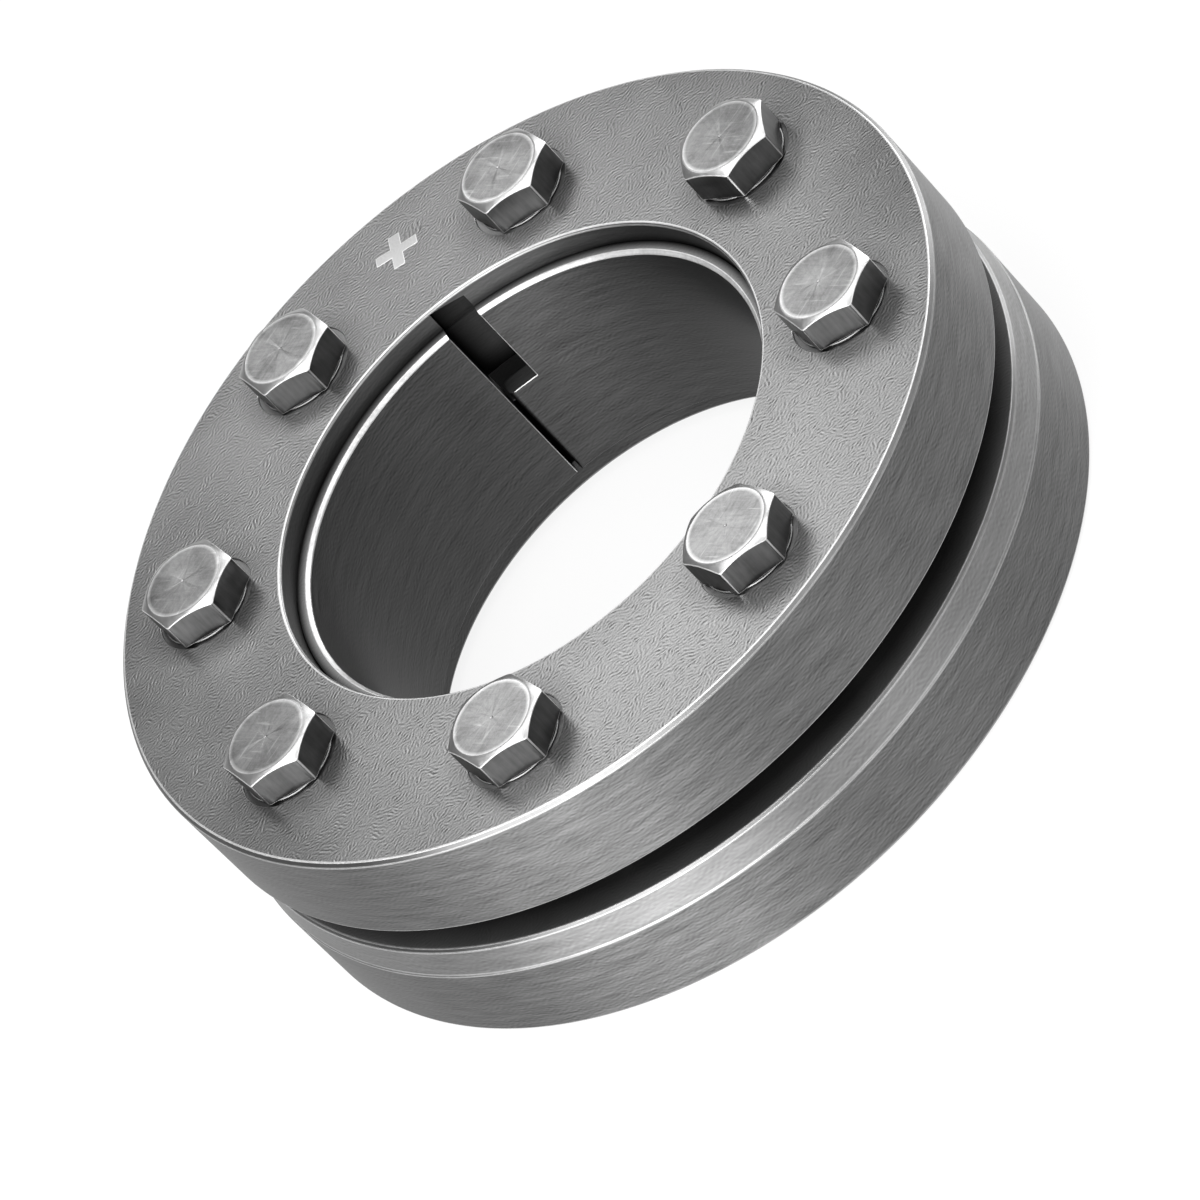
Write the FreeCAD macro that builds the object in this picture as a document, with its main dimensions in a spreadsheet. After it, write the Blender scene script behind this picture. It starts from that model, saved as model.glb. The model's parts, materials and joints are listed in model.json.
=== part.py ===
"""Shrink disc that locks a hollow hub on a shaft: two thrust rings drawn together by eight
hexagon bolts over a slit, double-tapered inner ring.

Frame: millimetres, +Z along the shaft axis with the bolt heads up. The origin is the centre of
the rear thrust ring's back face, on which the part stands. The slit of the inner ring lies at +Y.
"""
import FreeCAD, Part
import os
import re
import Sketcher

# Driving dimensions. Each is a cell of the sheet, under its own name.
SIZES = (
    ("outer_diameter", 100.0, "outside of both thrust rings"),
    ("ring_bore", 59.2, "narrow end of the taper bore in both thrust rings"),
    ("front_thickness", 11.8, "front thrust ring, which carries the bolt heads"),
    ("rear_thickness", 13.8, "rear thrust ring, which is tapped"),
    ("ring_gap", 4.8, "space between the thrust rings before tightening"),
    ("rim_chamfer", 0.45, "outer edges of the two end faces"),
    ("bore_chamfer", 0.25, "bore edges of the two end faces"),
    ("band_diameter", 98.7, "front end of the rear ring's tapered band"),
    ("band_width", 3.75, "length of that band along the axis"),
    ("band_chamfer", 0.35, "front edge of that band"),
    ("shoulder_chamfer", 0.15, "step from the band up to the full diameter"),
    ("land_length", 3.3, "straight bore in front of each taper"),
    ("cone_angle", 6.0, "half angle of the tapers"),
    ("cone_clearance", 0.12, "radial gap at the tapers before tightening"),
    ("shaft_bore", 56.0, "bore of the inner ring"),
    ("end_recess", 2.8, "depth of the inner ring's ends below the end faces"),
    ("inner_chamfer", 0.35, "bore edges of the inner ring"),
    ("ridge_width", 2.0, "flat between the two tapers of the inner ring"),
    ("slit_width", 0.5, "slit through the inner ring"),
    ("lip_radius", 0.8, "rounded bore edge on one side of the slit"),
    ("notch_width", 4.1, "notch beside the slit, open to the front"),
    ("notch_length", 11.1, "depth of that notch along the axis"),
    ("groove_depth", 0.35, "shallow groove in the front ring over the notch"),
    ("bolt_count", 8, "bolts on the bolt circle"),
    ("bolt_inset", 10.9, "bolt axes inside the outer diameter"),
    ("thread_diameter", 6.0, "outside of the bolt thread"),
    ("thread_clearance", 0.04, "radial play of the thread in the tapped holes"),
    ("hole_clearance", 0.3, "radial play of the bolts in the front ring"),
    ("hole_chamfer", 0.5, "mouths of the tapped holes at the back"),
    ("spotface_diameter", 11.8, "seat of each bolt head"),
    ("spotface_depth", 0.25, "depth of that seat"),
    ("bolt_length", 25.0, "bolt below the head"),
    ("head_flats", 10.0, "hexagon across flats"),
    ("head_corners", 11.26, "hexagon across its flattened corners"),
    ("head_height", 4.3, "height of the hexagon"),
    ("crown_diameter", 9.1, "flat round top of the hexagon"),
    ("head_chamfer", 30.0, "slope of the chamfer above the hexagon"),
)

# Direction of one corner of each bolt head, in degrees: no two bolts stop at the same turn.
HEAD_TURNS = (12, 48, 44, 45, 46, 50, 57, 43)

# Heights and radii that follow from the sheet.
STACK = "(rear_thickness + ring_gap + front_thickness)"
FRONT_BASE = "(rear_thickness + ring_gap)"
RING_RADIUS = "(ring_bore / 2)"
OUTER_RADIUS = "(outer_diameter / 2)"
BOLT_RADIUS = "(outer_diameter / 2 - bolt_inset)"
SHAFT_RADIUS = "(shaft_bore / 2)"
SLOPE = "tan(cone_angle)"
RIDGE_BOTTOM = f"({STACK} / 2 - ridge_width / 2)"
RIDGE_TOP = f"({STACK} / 2 + ridge_width / 2)"
CONE_END = f"({RING_RADIUS} + (end_recess - land_length) * {SLOPE} - cone_clearance)"
CONE_RIDGE = f"({RING_RADIUS} + ({RIDGE_BOTTOM} - land_length) * {SLOPE} - cone_clearance)"
NOTCH_SIDE = "(notch_width - slit_width / 2)"
TAPPED_RADIUS = "(thread_diameter / 2 + thread_clearance)"

doc = FreeCAD.newDocument("shrink_disc")
sheet = doc.addObject("Spreadsheet::Sheet", "Sizes")
for row, (name, size, note) in enumerate(SIZES, start=1):
    sheet.set(f"A{row}", note)
    sheet.set(f"B{row}", str(size))
    sheet.setAlias(f"B{row}", name)
for number, turn in enumerate(HEAD_TURNS, start=1):
    row = len(SIZES) + number
    sheet.set(f"A{row}", f"turn of bolt head {number}")
    sheet.set(f"B{row}", str(turn))
    sheet.setAlias(f"B{row}", f"head_turn_{number}")
doc.recompute()


def value(expression):
    """Present value of an expression in the names of the sheet."""
    return float(sheet.evalExpression(expression))


def tie(thing, prop, expression):
    """Bind a property to an expression in the names of the sheet."""
    aliases = [name for name, size, note in SIZES]
    aliases += [f"head_turn_{number}" for number in range(1, len(HEAD_TURNS) + 1)]
    pattern = r"\b(" + "|".join(sorted(aliases, key=len, reverse=True)) + r")\b"
    thing.setExpression(prop, re.sub(pattern, r"Sizes.\1", expression))


def origin_feature(body, role):
    """Plane or axis of a body's own origin."""
    return next(feature for feature in body.Origin.OriginFeatures if feature.Role == role)


def new_body(label):
    """Empty body whose label is the name of its sub-part."""
    body = doc.addObject("PartDesign::Body", label)
    body.Label = label
    return body


def new_sketch(body, name, plane="XY_Plane", height=None):
    """Sketch on an origin plane of the body, raised by an expression if one is given."""
    sketch = body.newObject("Sketcher::SketchObject", name)
    sketch.AttachmentSupport = [(origin_feature(body, plane), "")]
    sketch.MapMode = "FlatFace"
    if height:
        tie(sketch, "AttachmentOffset.Base.z", height)
    return sketch


def constrain(sketch, kind, geometry, point, expression):
    """Hold one coordinate of a point: on the axis for 0, else at a bound distance from it."""
    if expression == "0":
        axis = -2 if kind == "DistanceX" else -1
        sketch.addConstraint(Sketcher.Constraint("PointOnObject", geometry, point, axis))
        return
    distance = Sketcher.Constraint(kind, -1, 1, geometry, point, value(expression))
    index = sketch.addConstraint(distance)
    tie(sketch, f"Constraints[{index}]", expression)


def draw_outline(sketch, corners):
    """Closed outline through corners given as pairs of expressions."""
    points = [FreeCAD.Vector(value(x), value(y), 0) for x, y in corners]
    for start, end in zip(points, points[1:] + points[:1]):
        sketch.addGeometry(Part.LineSegment(start, end))
    for index, (x, y) in enumerate(corners):
        following = (index + 1) % len(corners)
        sketch.addConstraint(Sketcher.Constraint("Coincident", index, 2, following, 1))
        constrain(sketch, "DistanceX", index, 1, x)
        constrain(sketch, "DistanceY", index, 1, y)


def draw_circle(sketch, x, y, radius):
    """Circle whose centre and radius are expressions."""
    centre = FreeCAD.Vector(value(x), value(y), 0)
    sketch.addGeometry(Part.Circle(centre, FreeCAD.Vector(0, 0, 1), value(radius)))
    constrain(sketch, "DistanceX", 0, 3, x)
    constrain(sketch, "DistanceY", 0, 3, y)
    index = sketch.addConstraint(Sketcher.Constraint("Radius", 0, value(radius)))
    tie(sketch, f"Constraints[{index}]", radius)


def turned(body, name, corners, kind="PartDesign::Revolution"):
    """Half section of radius and height, turned about the body's axis."""
    sketch = new_sketch(body, f"{name}_section", "XZ_Plane")
    draw_outline(sketch, corners)
    feature = body.newObject(kind, name)
    feature.Profile = sketch
    feature.ReferenceAxis = (sketch, ["V_Axis"])
    feature.Angle = 360
    sketch.Visibility = False
    return feature


def pocket(body, name, sketch, length=None, upward=False):
    """Straight cut down from the sketch, or up from it; through everything without a length."""
    feature = body.newObject("PartDesign::Pocket", name)
    feature.Profile = sketch
    feature.Reversed = upward
    if length:
        tie(feature, "Length", length)
    else:
        feature.Type = "ThroughAll"
    sketch.Visibility = False
    return feature


def round_the_bolt_circle(body, name, features):
    """Repeat the features for every bolt."""
    pattern = body.newObject("PartDesign::PolarPattern", name)
    pattern.Originals = features
    pattern.Axis = (origin_feature(body, "Z_Axis"), [""])
    pattern.Angle = 360
    tie(pattern, "Occurrences", "bolt_count")
    body.Tip = pattern
    return pattern


def first_hole(body, name, radius, height=None):
    """Circle on the bolt circle, half a bolt pitch from +X, so that the slit lies between bolts."""
    sketch = new_sketch(body, f"{name}_circle", height=height)
    draw_circle(sketch, bolt_x("1"), bolt_y("1"), radius)
    return sketch


def bolt_x(number):
    """Expression for the X of a numbered bolt."""
    return f"{BOLT_RADIUS} * cos(360 / bolt_count * ({number} - 0.5))"


def bolt_y(number):
    """Expression for the Y of a numbered bolt."""
    return f"{BOLT_RADIUS} * sin(360 / bolt_count * ({number} - 0.5))"


def rear_thrust_ring():
    """Tapped ring with a narrow tapered band in front of its full diameter."""
    body = new_body("rear_thrust_ring")
    shoulder = "(rear_thickness - band_width)"
    turned(body, "rear_ring_turning", (
        (f"{RING_RADIUS} + bore_chamfer", "0"),
        (f"{OUTER_RADIUS} - rim_chamfer", "0"),
        (OUTER_RADIUS, "rim_chamfer"),
        (OUTER_RADIUS, shoulder),
        (f"{OUTER_RADIUS} - shoulder_chamfer", f"{shoulder} + shoulder_chamfer"),
        ("band_diameter / 2", "rear_thickness - band_chamfer"),
        ("band_diameter / 2 - band_chamfer", "rear_thickness"),
        (f"{RING_RADIUS} + (rear_thickness - land_length) * {SLOPE}", "rear_thickness"),
        (RING_RADIUS, "land_length"),
        (RING_RADIUS, "bore_chamfer"),
    ))
    hole_circle = first_hole(body, "tapped_hole", TAPPED_RADIUS)
    hole = pocket(body, "tapped_hole", hole_circle, upward=True)
    mouth_circle = first_hole(body, "hole_mouth", f"{TAPPED_RADIUS} + hole_chamfer")
    mouth = pocket(body, "hole_mouth", mouth_circle, "hole_chamfer", upward=True)
    mouth.TaperAngle = -45
    round_the_bolt_circle(body, "tapped_holes", [hole, mouth])
    return body


def front_thrust_ring():
    """Ring under the bolt heads, with a spotface and a clearance hole for each bolt."""
    body = new_body("front_thrust_ring")
    turned(body, "front_ring_turning", (
        (f"{RING_RADIUS} + (front_thickness - land_length) * {SLOPE}", FRONT_BASE),
        (OUTER_RADIUS, FRONT_BASE),
        (OUTER_RADIUS, f"{STACK} - rim_chamfer"),
        (f"{OUTER_RADIUS} - rim_chamfer", STACK),
        (f"{RING_RADIUS} + bore_chamfer", STACK),
        (RING_RADIUS, f"{STACK} - bore_chamfer"),
        (RING_RADIUS, f"{STACK} - land_length"),
    ))
    groove = new_sketch(body, "bore_groove_outline", height=STACK)
    draw_outline(groove, (
        ("-slit_width / 2", f"{RING_RADIUS} / 2"),
        (NOTCH_SIDE, f"{RING_RADIUS} / 2"),
        (NOTCH_SIDE, f"{RING_RADIUS} + groove_depth"),
        ("-slit_width / 2", f"{RING_RADIUS} + groove_depth"),
    ))
    pocket(body, "bore_groove", groove, "land_length")
    seat_circle = first_hole(body, "spotface", "spotface_diameter / 2", STACK)
    seat = pocket(body, "spotface", seat_circle, "spotface_depth")
    hole_circle = first_hole(body, "bolt_hole", "thread_diameter / 2 + hole_clearance", STACK)
    hole = pocket(body, "bolt_hole", hole_circle)
    round_the_bolt_circle(body, "bolt_holes", [seat, hole])
    return body


def bore_edge_of_slit(shape):
    """Name of the edge where the +X side of the slit meets the bore."""
    side = value("slit_width / 2")
    radius = value(SHAFT_RADIUS)
    for index, edge in enumerate(shape.Edges, start=1):
        ends = [vertex.Point for vertex in edge.Vertexes]
        if all(abs(end.x - side) < 1e-6 and abs(end.Length ** 2 - end.z ** 2 - radius ** 2) < 1e-6
               for end in ends):
            return f"Edge{index}"
    raise RuntimeError("the slit has no edge at the bore")


def inner_ring():
    """Double-tapered ring, slit along its whole length, with a notch beside the slit."""
    body = new_body("inner_ring")
    top = f"({STACK} - end_recess)"
    turned(body, "inner_ring_turning", (
        (f"{SHAFT_RADIUS} + inner_chamfer", "end_recess"),
        (CONE_END, "end_recess"),
        (CONE_RIDGE, RIDGE_BOTTOM),
        (CONE_RIDGE, RIDGE_TOP),
        (CONE_END, top),
        (f"{SHAFT_RADIUS} + inner_chamfer", top),
        (SHAFT_RADIUS, f"{top} - inner_chamfer"),
        (SHAFT_RADIUS, "end_recess + inner_chamfer"),
    ))
    slit = new_sketch(body, "slit_outline")
    draw_outline(slit, (
        ("-slit_width / 2", f"{RING_RADIUS} / 2"),
        ("slit_width / 2", f"{RING_RADIUS} / 2"),
        ("slit_width / 2", "ring_bore"),
        ("-slit_width / 2", "ring_bore"),
    ))
    pocket(body, "slit", slit, upward=True)
    notch = new_sketch(body, "notch_outline", height=top)
    draw_outline(notch, (
        ("-slit_width / 2", f"{RING_RADIUS} / 2"),
        (NOTCH_SIDE, f"{RING_RADIUS} / 2"),
        (NOTCH_SIDE, "ring_bore"),
        ("-slit_width / 2", "ring_bore"),
    ))
    cut = pocket(body, "notch", notch, "notch_length")
    doc.recompute()
    lip = body.newObject("PartDesign::Fillet", "slit_lip")
    lip.Base = (cut, [bore_edge_of_slit(cut.Shape)])
    tie(lip, "Radius", "lip_radius")
    return body


def bolt(number):
    """Hexagon bolt with its underside at the spotface, turned as the sheet says."""
    body = new_body(f"bolt_{number}")
    label = f"bolt_{number}"
    shank = "(thread_diameter / 2)"
    turned(body, f"{label}_shank", (
        ("0", "-bolt_length"),
        (shank, "-bolt_length"),
        (shank, "0"),
        ("0", "0"),
    ))
    head = body.newObject("PartDesign::AdditivePrism", f"{label}_hexagon")
    head.AttachmentSupport = [(origin_feature(body, "XY_Plane"), "")]
    head.MapMode = "FlatFace"
    head.Polygon = 6
    tie(head, "Circumradius", "head_flats / 2 / cos(30)")
    tie(head, "Height", "head_height")
    drop = "(head_corners - crown_diameter) / 2 * tan(head_chamfer)"
    turned(body, f"{label}_chamfer", (
        ("crown_diameter / 2", "head_height"),
        ("head_corners / 2", f"head_height - {drop}"),
        ("head_corners / 2", "0"),
        ("head_flats", "0"),
        ("head_flats", "head_height"),
    ), "PartDesign::Groove")
    tie(body, "Placement.Base.x", bolt_x(number))
    tie(body, "Placement.Base.y", bolt_y(number))
    tie(body, "Placement.Base.z", f"{STACK} - spotface_depth")
    tie(body, "Placement.Rotation.Angle", f"head_turn_{number}")
    return body


bodies = [rear_thrust_ring(), front_thrust_ring(), inner_ring()]
bodies += [bolt(number) for number in range(1, int(value("bolt_count")) + 1)]
doc.recompute()

for thing in doc.Objects:
    if "Invalid" in thing.State or "Error" in thing.State:
        raise RuntimeError(f"{thing.Label} failed: {thing.State}")
for body in bodies:
    if body.Shape.isNull() or not body.Shape.isValid() or len(body.Shape.Solids) != 1:
        raise RuntimeError(f"{body.Label} is not one valid solid")

os.makedirs("parts", exist_ok=True)
for body in bodies:
    body.Shape.exportStep(f"parts/{body.Label}.step")
    box = body.Shape.BoundBox
    print(f"{body.Label}: {body.Shape.Volume:.1f} mm3, {box.ZMin:.2f} to {box.ZMax:.2f} mm high")
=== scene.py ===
"""Looks of a shrink disc: steel finishes, eased edges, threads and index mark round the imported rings.

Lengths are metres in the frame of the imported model: +Z along the shaft axis with the bolt heads up.
"""
import json
import math

import bmesh
import bpy
from mathutils import Matrix, Vector

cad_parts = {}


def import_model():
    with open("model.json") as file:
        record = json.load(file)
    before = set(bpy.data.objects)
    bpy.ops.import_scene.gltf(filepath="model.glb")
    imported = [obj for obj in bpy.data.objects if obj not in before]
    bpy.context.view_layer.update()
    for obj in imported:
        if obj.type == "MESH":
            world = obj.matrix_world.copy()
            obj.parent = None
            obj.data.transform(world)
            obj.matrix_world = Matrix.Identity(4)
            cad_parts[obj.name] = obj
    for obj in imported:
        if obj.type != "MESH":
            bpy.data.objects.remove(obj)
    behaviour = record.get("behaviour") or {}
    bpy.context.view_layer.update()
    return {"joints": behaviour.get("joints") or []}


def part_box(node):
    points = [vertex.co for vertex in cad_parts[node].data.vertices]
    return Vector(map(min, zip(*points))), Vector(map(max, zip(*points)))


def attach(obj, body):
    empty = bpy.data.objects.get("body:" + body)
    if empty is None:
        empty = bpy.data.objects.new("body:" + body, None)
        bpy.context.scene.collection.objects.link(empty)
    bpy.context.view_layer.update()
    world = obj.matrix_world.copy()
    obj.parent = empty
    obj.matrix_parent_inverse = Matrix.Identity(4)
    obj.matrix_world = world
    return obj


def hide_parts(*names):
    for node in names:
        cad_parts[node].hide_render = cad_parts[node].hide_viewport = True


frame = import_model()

MM = 0.001

# Camera, at the photograph's viewing angle. At azimuth 0 it looks along +Y.
CAMERA_AZIMUTH = math.radians(8.08)
CAMERA_ELEVATION = math.radians(37.24)
CAMERA_ROLL = math.radians(-44.33)
CAMERA_DISTANCE = 854 * MM
CAMERA_AIM = Vector((-3.16, -7.30, 15.00)) * MM
CAMERA_LENS = 250.1
CAMERA_SENSOR = 36.0

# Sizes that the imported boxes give.
_, REAR_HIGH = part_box("rear_thrust_ring")
FRONT_LOW, FRONT_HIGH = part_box("front_thrust_ring")
INNER_LOW, INNER_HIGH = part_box("inner_ring")
OUTER_RADIUS = FRONT_HIGH.x
STACK = FRONT_HIGH.z
FRONT_BASE = FRONT_LOW.z
REAR_TOP = REAR_HIGH.z

# Sections of the rings, as in the model's own source.
RING_RADIUS = 29.6 * MM
SHAFT_RADIUS = 28.0 * MM
TAPER = math.tan(math.radians(6))
TAPER_PLAY = 0.12 * MM
LAND = 3.3 * MM
RIM_CHAMFER = 0.45 * MM
BORE_CHAMFER = 0.25 * MM
BAND_RADIUS = 49.35 * MM
BAND_WIDTH = 3.75 * MM
BAND_CHAMFER = 0.35 * MM
SHOULDER_CHAMFER = 0.15 * MM
INNER_CHAMFER = 0.35 * MM
RIDGE = 2.0 * MM

# Slit, notch, and the groove over the notch in the front ring's bore.
SLIT = 0.5 * MM
LIP_RADIUS = 0.8 * MM
NOTCH_WIDTH = 4.1 * MM
NOTCH_SIDE = NOTCH_WIDTH - SLIT / 2
NOTCH_LENGTH = 11.1 * MM
GROOVE_DEPTH = 0.35 * MM
GROOVE_DROP = 1.0 * MM

# Eased edges: how far they are rounded, how far their painted highlight runs on past the rounding, and the
# most that each takes of a short side.
EASE = 0.07 * MM
HIGHLIGHT_RUN = 0.05 * MM
EASE_SHARE = 0.3
HIGHLIGHT_SHARE = 0.4
EASE_STEPS = 3
EDGE_BREAK = 0.08 * MM

# Seats, clearance holes and tapped holes.
SEAT_DEPTH = 0.25 * MM
SEAT_RADIUS = 5.8 * MM
SEAT_LIP = 0.08 * MM
HOLE_RADIUS = 3.3 * MM
MOUTH_CHAMFER = 0.5 * MM

# Bolts, and how far each head is turned, in degrees.
BOLT_NAMES = [f"bolt_{number}" for number in range(1, 9)]
HEAD_TURNS = (12, 48, 44, 45, 46, 50, 57, 43)
BOLT_LENGTH = 25.0 * MM
THREAD_RADIUS = 3.0 * MM
THREAD_PITCH = 1.0 * MM
THREAD_DEPTH = 0.61 * MM
THREAD_PLAY = 0.04 * MM
# Keeps the bolt's end off a whole pitch, where it would meet corners of the thread's own mesh.
THREAD_END_SHIFT = 0.003 * MM
# Length of thread inside the head, which joins the two.
THREAD_ROOT = 0.1 * MM
POINT_CHAMFER = 0.6 * MM
HEAD_FLAT = 5.0 * MM
HEAD_CORNER = 5.70 * MM
HEAD_TOP = 4.3 * MM
HEAD_SLOPE = math.tan(math.radians(30))
HEAD_SOFTNESS = 0.05 * MM
CORNER_SOFTNESS = 0.02 * MM
WASHER_HEIGHT = 0.32 * MM
WASHER_RADIUS = 5.2 * MM
CROWN_RADIUS = 4.70 * MM
DIMPLE_RADIUS = 0.14 * MM
DIMPLE_DEPTH = 0.07 * MM

# Index mark: a cross of four equal arms.
MARK_ARM = 2.62 * MM
MARK_HALF_WIDTH = 0.70 * MM
MARK_HEIGHT = 0.02 * MM
MARK_WALL = 0.006 * MM
MARK_ROOT = 0.05 * MM
MARK_BEVEL = 0.06 * MM
MARK_RADIUS = 42.05 * MM
MARK_ANGLE = math.radians(89.5)
MARK_TURN = math.radians(78)

# Fineness of the turned shapes.
RING_SEGMENTS = 360
HOLE_SEGMENTS = 72
THREAD_SEGMENTS = 48
LIP_STEPS = 12
NOTCH_EDGE_STEPS = 8
# Places across one side of a bolt head, in degrees from its corner, close together at both corners.
HEAD_STEPS = (0, 0.9, 1.8, 2.4, 2.9, 3.6, 5, 8, 12, 17, 23,
              30, 37, 43, 48, 52, 55, 56.4, 57.1, 57.6, 58.2, 59.1)

# Surface patterns.
WRINKLE = 0.44 * MM
WRINKLE_TURN = math.radians(97)
WRINKLE_SWIRL = math.radians(60)
STREAK_LENGTH = 16.0
NOISE_LOW, NOISE_HIGH = 0.3, 0.7
RIDGE_LOW, RIDGE_HIGH = 0.2, 0.8
# Turn of the streaked gloss against the tangent, as a share of a full turn.
GRAIN_TURN = 0.25
# Patterns that run round the axis have their seam at +Y on outer sides and at -Y in bores.
OUTER_SEAM, BORE_SEAM = -1.0, 1.0
# Reach of the painted shade round the bolts, in the gap and in corners, and of the darkening towards the
# bore.
GAP_SHADE_WIDTH = 3.5 * MM
BOLT_SHADE_WIDTH = 3.0 * MM
BORE_DARKENING_WIDTH = 7.0 * MM
END_SHADE_START = SHAFT_RADIUS + 0.55 * MM
END_SHADE_FULL = RING_RADIUS - 0.25 * MM
CORNER_SHADE_HEIGHT = 1.2 * MM
GAP_SHADE_HEIGHT = 3.0 * MM
# Painted highlight at the crown's rim: it starts and is full this far inside its edge.
CROWN_HIGHLIGHT_START = 0.6 * MM
CROWN_HIGHLIGHT_FULL = 0.2 * MM

# Floor, surroundings and lamps.
FLOOR_HALF = 4.0
FLOOR_GREY = 0.85
FLOOR_WHITE_SHARE = 0.86
SURROUNDINGS = 0.4
LAMP_AIM = (0, 0, 0.015)
FACE_LAMP_AIM = (0.010, -0.039, STACK)


def material(name, grey, metallic, roughness, anisotropic=0.0):
    """Material with a metal shader, whose tree the caller dresses."""
    made = bpy.data.materials.new(name)
    made.use_nodes = True
    shader = made.node_tree.nodes["Principled BSDF"]
    shader.inputs["Base Color"].default_value = (grey, grey, grey, 1)
    shader.inputs["Metallic"].default_value = metallic
    shader.inputs["Roughness"].default_value = roughness
    shader.inputs["Anisotropic"].default_value = anisotropic
    return made


def add(tree, kind, settings=None, **inputs):
    """Node with settings, and inputs that are values or another node's output.

    An input is named as its socket is, or iN for socket number N.
    """
    made = tree.nodes.new(kind)
    for name, value in (settings or {}).items():
        setattr(made, name, value)
    for name, value in inputs.items():
        socket = made.inputs[int(name[1:])] if name[1:].isdigit() else made.inputs[name.replace("_", " ")]
        if isinstance(value, bpy.types.NodeSocket):
            tree.links.new(value, socket)
        else:
            socket.default_value = value
    return made


def maths(tree, operation, first, second=0.0):
    """One arithmetic step."""
    return add(tree, "ShaderNodeMath", {"operation": operation}, i0=first, i1=second).outputs[0]


def total(tree, *values):
    """Sum of the values."""
    result = values[0]
    for value in values[1:]:
        result = maths(tree, "ADD", result, value)
    return result


def length(tree, vector):
    """Length of a vector."""
    return add(tree, "ShaderNodeVectorMath", {"operation": "LENGTH"}, i0=vector).outputs["Value"]


def remap(tree, value, low, high, new_low, new_high):
    """Value moved from one range to another, and kept inside it."""
    return add(tree, "ShaderNodeMapRange", i0=value, i1=low, i2=high, i3=new_low, i4=new_high).outputs[0]


def vary(tree, pattern, low, high):
    """Noise spread over a range."""
    return remap(tree, pattern, NOISE_LOW, NOISE_HIGH, low, high)


def noise(tree, vector, scale, detail=2.0, roughness=0.5, distortion=0.0, offset=0.0):
    """Soft noise from 0 to 1, with the scale in cells a metre."""
    made = add(tree, "ShaderNodeTexNoise", {"noise_dimensions": "4D"}, Vector=vector, W=offset,
               Scale=scale, Detail=detail, Roughness=roughness, Distortion=distortion)
    return made.outputs[0]


def stretch(tree, vector, along, turned=0.0):
    """Vector whose pattern is drawn out along its three axes, and turned about Z."""
    return add(tree, "ShaderNodeMapping", {"vector_type": "TEXTURE"}, Vector=vector,
               Rotation=(0, 0, turned), Scale=along).outputs[0]


def place(tree):
    """Point in the piece's own frame."""
    return tree.nodes.new("ShaderNodeTexCoord").outputs["Object"]


def coordinates(tree):
    """X, Y and Z of the point in the piece's own frame."""
    return add(tree, "ShaderNodeSeparateXYZ", i0=place(tree)).outputs


def from_axis(tree):
    """Vector to the point from the piece's own Z axis."""
    x, y = coordinates(tree)[:2]
    return add(tree, "ShaderNodeCombineXYZ", i0=x, i1=y).outputs[0]


def round_axis(tree, seam_side):
    """Point unrolled round the Z axis: length along the circumference, height, and radius."""
    x, y, height = coordinates(tree)
    across = maths(tree, "MULTIPLY", x, seam_side)
    ahead = maths(tree, "MULTIPLY", y, seam_side)
    angle = maths(tree, "ARCTAN2", across, ahead)
    radius = length(tree, from_axis(tree))
    return maths(tree, "MULTIPLY", angle, radius), height, radius


def own_offset(tree):
    """A number of the piece's own, so that no two bolts look the same."""
    return maths(tree, "MULTIPLY", tree.nodes.new("ShaderNodeObjectInfo").outputs["Random"], 40.0)


def finish_metal(made, tint, roughness, height, bump, darkening=None):
    """Connect colour factor, roughness and bump height to the shader, under a darkening if it has one:
    painted shade, and on the end faces also darker towards the bore.
    """
    tree = made.node_tree
    shader = tree.nodes["Principled BSDF"]
    if darkening:
        tint = maths(tree, "MULTIPLY", tint, darkening(tree))
    base = shader.inputs["Base Color"].default_value[:3]
    colour = add(tree, "ShaderNodeVectorMath", {"operation": "SCALE"}, i0=base, Scale=tint).outputs[0]
    tree.links.new(colour, shader.inputs["Base Color"])
    tree.links.new(roughness, shader.inputs["Roughness"])
    bumped = add(tree, "ShaderNodeBump", Strength=1.0, Distance=bump, Height=height)
    tree.links.new(bumped.outputs[0], shader.inputs["Normal"])
    return made


def wrinkles(tree, vector, wavelength, anisotropy, direction):
    """Worm-like ridges a wavelength apart, from 0 to 1, whose crests lie across the direction."""
    made = add(tree, "ShaderNodeTexGabor", {"gabor_type": "2D"}, Vector=vector, Scale=0.5 / wavelength,
               Frequency=2.0, Anisotropy=anisotropy, i4=direction)
    return made.outputs[0]


def wrinkled_steel(name, grey, roughness, contrast, bump, darkening=None):
    """End faces: fine wrinkles, longer than wide, drawn mostly one way and curled in places."""
    made = material(name, grey, 1.0, roughness)
    tree = made.node_tree
    swirl = noise(tree, place(tree), scale=480, detail=2.0, offset=3.0)
    direction = vary(tree, swirl, WRINKLE_TURN - WRINKLE_SWIRL, WRINKLE_TURN + WRINKLE_SWIRL)
    ridges = wrinkles(tree, place(tree), WRINKLE, 0.7, direction)
    fine = noise(tree, place(tree), scale=5200, detail=1.0, offset=9.0)
    clouds = noise(tree, place(tree), scale=70, detail=4.0, offset=7.0)
    tint = total(tree, vary(tree, clouds, 0.88, 1.06),
                 remap(tree, ridges, RIDGE_LOW, RIDGE_HIGH, -contrast, contrast),
                 vary(tree, fine, -0.3 * contrast, 0.3 * contrast))
    rough = vary(tree, clouds, roughness - 0.04, roughness + 0.04)
    return finish_metal(made, tint, rough, ridges, bump, darkening)


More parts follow.
